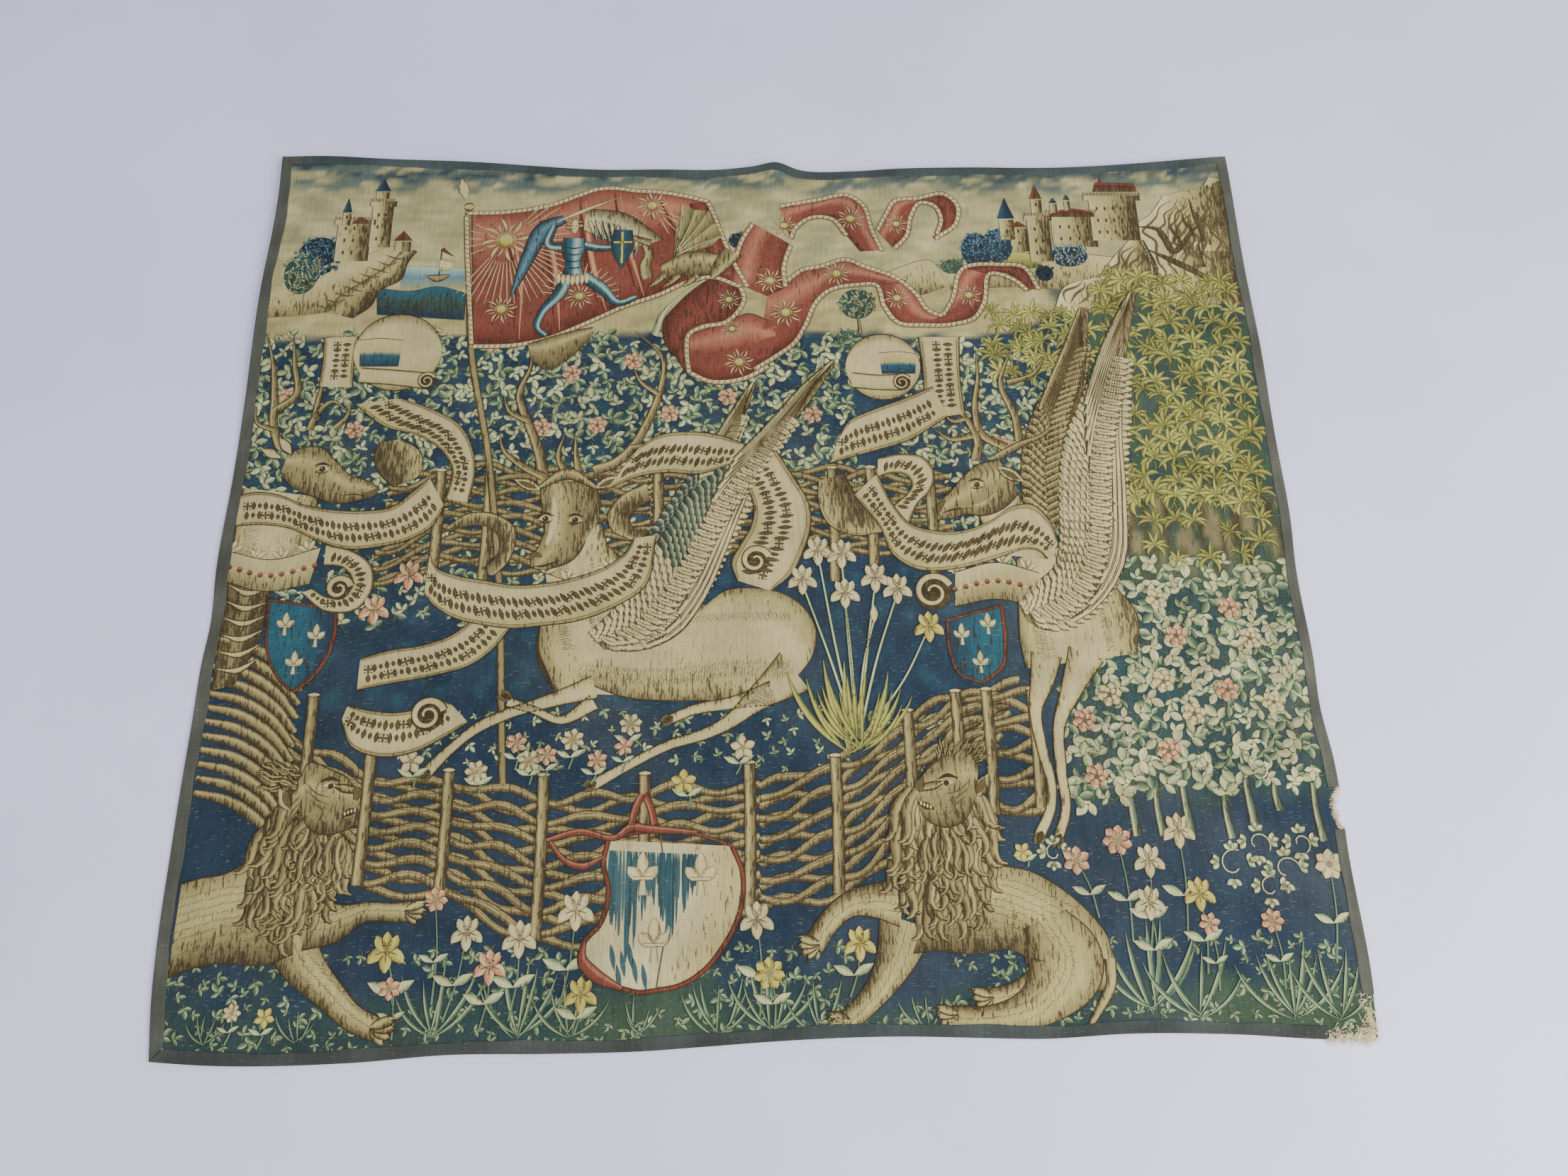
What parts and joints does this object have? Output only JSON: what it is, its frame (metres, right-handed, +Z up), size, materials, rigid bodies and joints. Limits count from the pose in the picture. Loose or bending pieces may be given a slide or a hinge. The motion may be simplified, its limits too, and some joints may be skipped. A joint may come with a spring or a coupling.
{
  "type": "tapestry wall hanging",
  "caption": "Wide wall hanging in printed rib-weave cloth with a lining, a dark tape edging all round and a rod sleeve across the back, lying face up with worn edges.",
  "frame": {"origin": "centre of the footprint of the laid-out hanging, on the floor", "axes": "+X to the right of the picture, +Y to the top of the picture, +Z up, out of the picture's face"},
  "size_m": [1.514, 1.33, 0.011],
  "materials": {
    "printed_cloth": "matt printed cotton rib weave with a millefleurs and beasts picture",
    "lining_cloth": "unbleached plain-weave calico",
    "edging_tape": "matt dark grey-green woven tape",
    "sewing_thread": "matt spun thread",
    "sleeve_cloth": "plain-weave linen",
    "loose_yarn": "undyed loose cotton yarn"
  },
  "bodies": {
    "root": {"face_cloth": "printed_cloth", "lining": "lining_cloth", "edging_top": "edging_tape", "edging_bottom": "edging_tape", "edging_left": "edging_tape", "edging_right_upper": "edging_tape", "edging_right_lower": "edging_tape", "edging_stitches_top": "sewing_thread", "edging_stitches_bottom": "sewing_thread", "edging_stitches_left": "sewing_thread", "edging_stitches_right": "sewing_thread", "rod_sleeve": "sleeve_cloth", "sleeve_stitches_upper": "sewing_thread", "sleeve_stitches_lower": "sewing_thread", "corner_yarns": "loose_yarn", "notch_yarns": "loose_yarn", "lining_scrap": "lining_cloth"}
  },
  "joints": []
}
